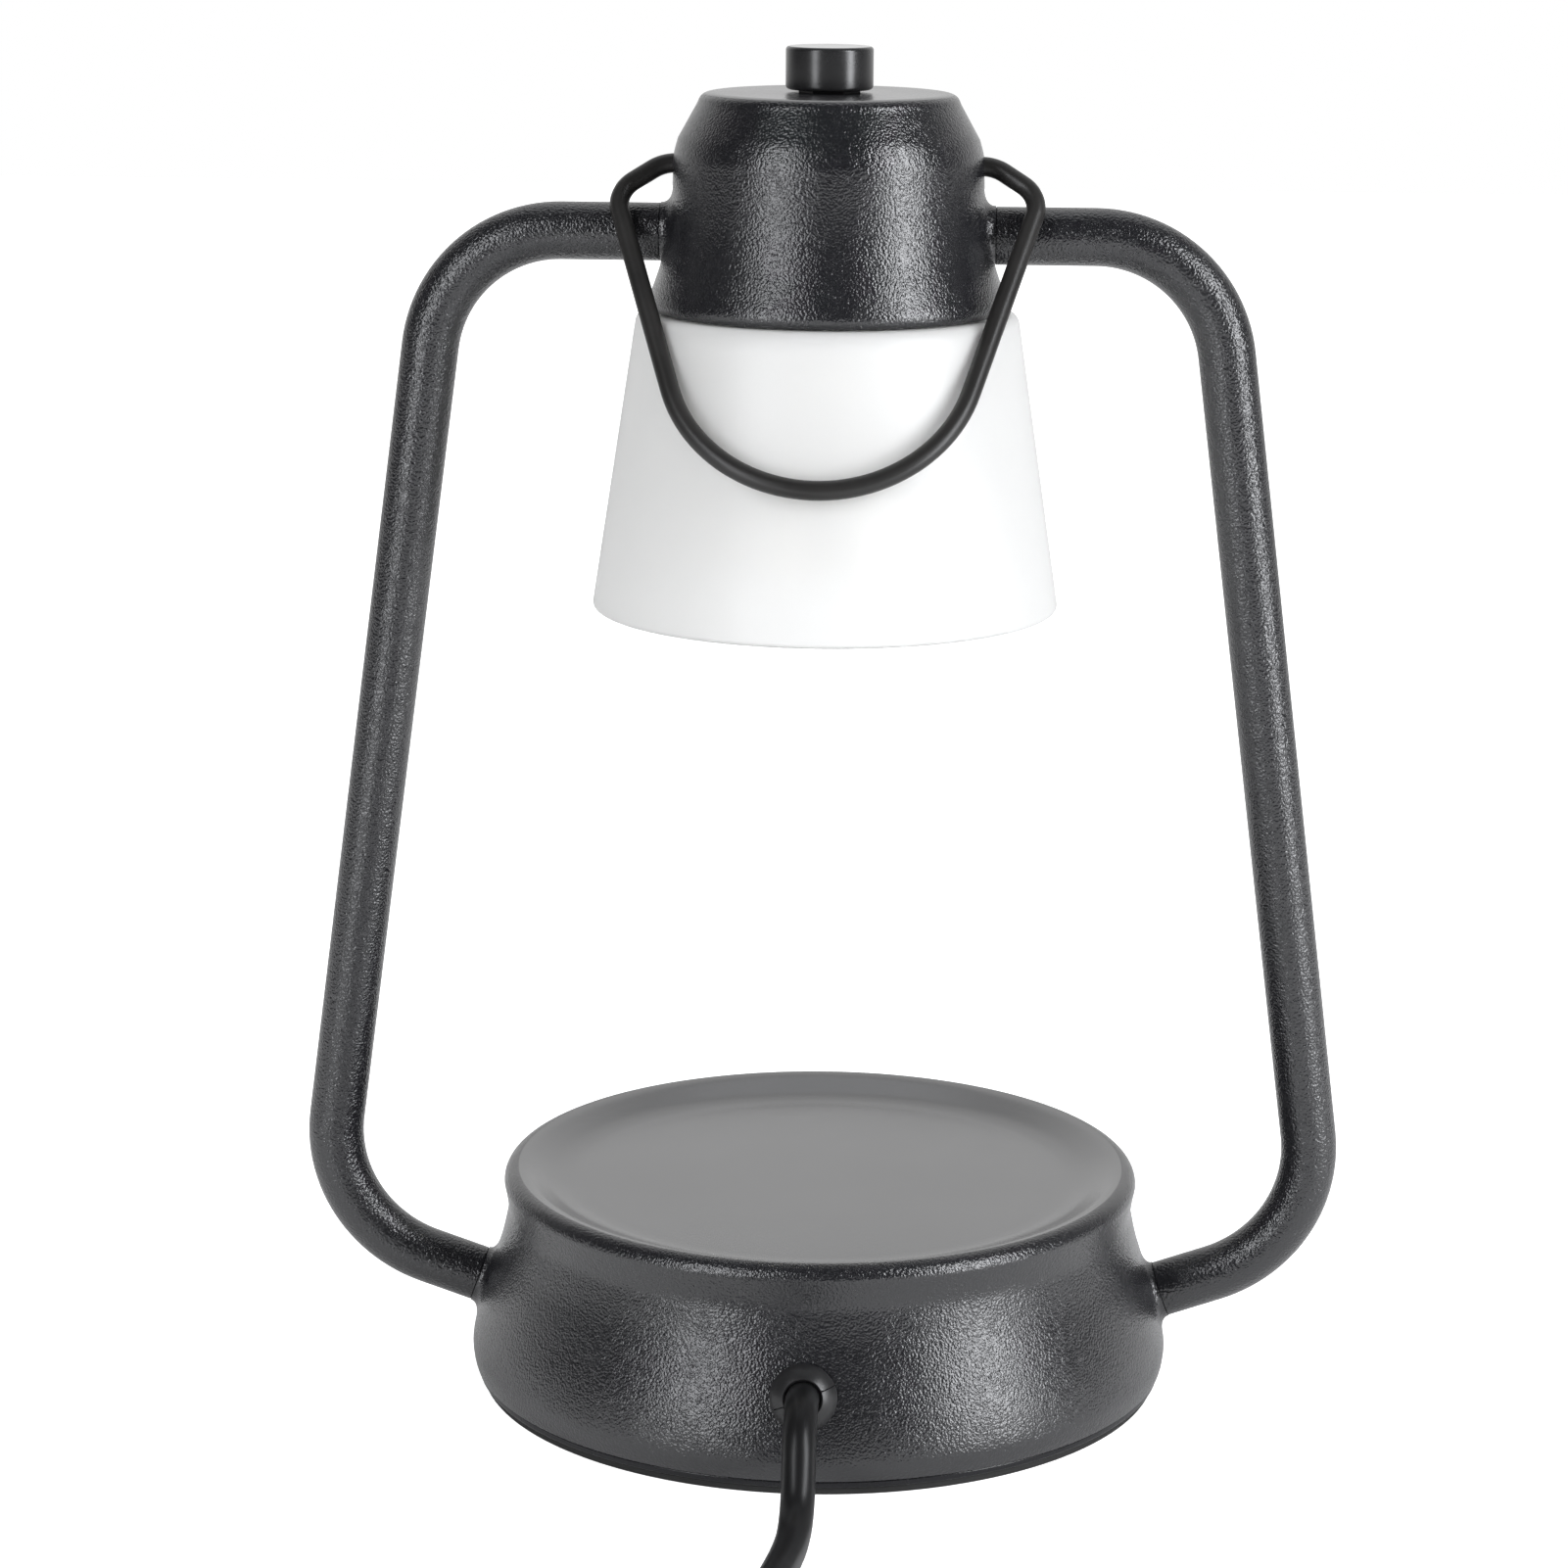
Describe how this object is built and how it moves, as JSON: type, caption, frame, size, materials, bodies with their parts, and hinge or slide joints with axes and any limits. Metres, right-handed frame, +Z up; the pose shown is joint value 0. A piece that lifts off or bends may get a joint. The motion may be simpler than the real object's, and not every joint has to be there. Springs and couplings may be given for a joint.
{
  "type": "candle warmer lamp",
  "caption": "Lantern-shaped candle warmer lamp: round weighted base, bent tube frame, small head with dimmer knob and wire bail, frosted glass shade over a spot bulb, mains cord with plug.",
  "frame": {"origin": "middle of the underside of the round base, on the table", "axes": "+Z up, frame tubes at +X and -X, mains cord leaves the base towards -Y and the bail leans towards -Y"},
  "size_m": [0.2389, 0.4, 0.2874],
  "materials": {
    "powder_coat": "rough powder coat",
    "black_wire": "smooth satin coat",
    "zinc_steel": "zinc plated",
    "cast_weight": "raw casting",
    "foam_rubber": "matte",
    "black_nylon": "fine satin",
    "knob_plastic": "satin",
    "cord_pvc": "semi gloss",
    "white_plastic": "satin",
    "ceramic": "glazed ceramic",
    "frosted_glass": "frosted white",
    "clear_glass": "clear",
    "silver_reflector": "metallised glass",
    "silicone": "translucent white silicone",
    "brass": "turned",
    "nickel_pins": "nickel plated"
  },
  "bodies": {
    "lamp_frame": {"foot_pad": "foam_rubber", "bottom_plate": "powder_coat", "plate_screws": "zinc_steel", "base_shell": "powder_coat", "ballast_disc": "cast_weight", "terminal_block": "white_plastic", "terminal_screws": "brass", "frame_tube_right": "powder_coat", "frame_tube_left": "powder_coat", "base_lock_washers": "zinc_steel", "base_lock_nuts": "zinc_steel", "head_lock_washers": "zinc_steel", "head_lock_nuts": "zinc_steel", "inner_flex": "cord_pvc", "head_shell": "powder_coat", "head_cover": "powder_coat", "cover_screws": "zinc_steel", "dimmer_module": "black_nylon", "dimmer_nut": "zinc_steel", "dimmer_leads": "cord_pvc", "lampholder": "ceramic", "shade_gasket": "silicone", "glass_shade": "frosted_glass", "shade_ring": "zinc_steel", "bulb_reflector": "silver_reflector", "bulb_lens": "clear_glass", "bulb_pins": "nickel_pins", "gland_upper_half": "black_nylon", "gland_lower_half": "black_nylon", "cord_inner": "cord_pvc", "cord_run": "cord_pvc", "cord_coil": "cord_pvc", "plug_sleeve": "black_nylon", "plug_body": "black_nylon", "plug_pins": "nickel_pins"},
    "bail": {"bail": "black_wire"},
    "knob": {"dimmer_knob": "knob_plastic", "dimmer_shaft": "brass"}
  },
  "joints": [
    {"name": "bail_swing", "type": "hinge", "parent": "lamp_frame", "child": "bail", "pos_m": [0, 0, 0.2632], "axis": [-1, 0, 0], "range_deg": [0, 282]},
    {"name": "dimmer_turn", "type": "hinge", "parent": "lamp_frame", "child": "knob", "pos_m": [0, 0, 0.2789], "axis": [0, 0, -1], "range_deg": [0, 270]}
  ]
}
